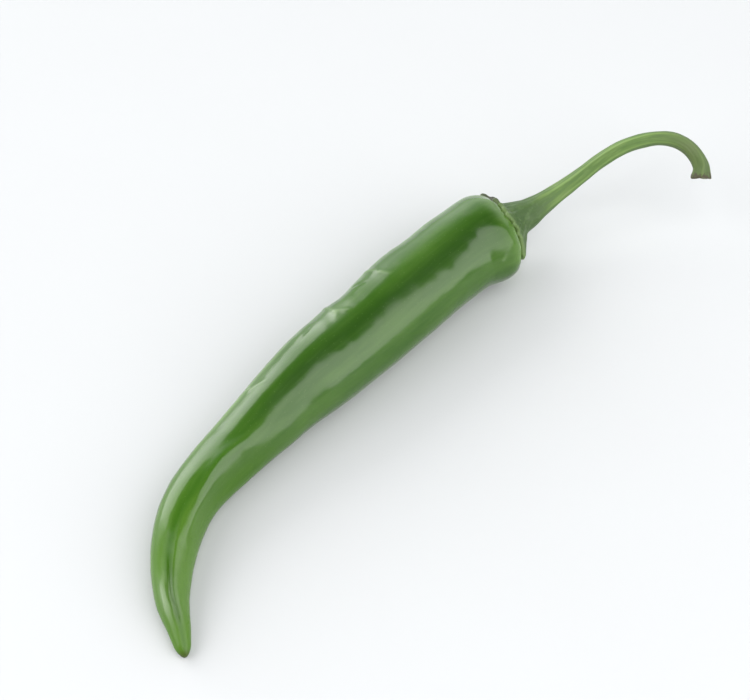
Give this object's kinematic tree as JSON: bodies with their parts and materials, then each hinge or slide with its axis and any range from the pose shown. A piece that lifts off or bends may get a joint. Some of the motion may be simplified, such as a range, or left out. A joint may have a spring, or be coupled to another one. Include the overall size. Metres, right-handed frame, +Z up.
{
  "type": "demre pepper",
  "caption": "Long slender green pepper with a bent pointed tip, a flared calyx and a curled stalk, lying on its belly as picked.",
  "frame": {"origin": "middle of the pepper's footprint, on the surface that it lies on", "axes": "+X along the straight part of the pod towards the stalk, +Z up; the tip and the stalk bend towards -Y"},
  "size_m": [0.2007, 0.0496, 0.0303],
  "materials": {
    "skin": "waxy green skin",
    "stalk": "matt pale green stalk, brown at the cut"
  },
  "bodies": {
    "root": {"pod": "skin", "calyx_stalk": "stalk"}
  },
  "joints": []
}
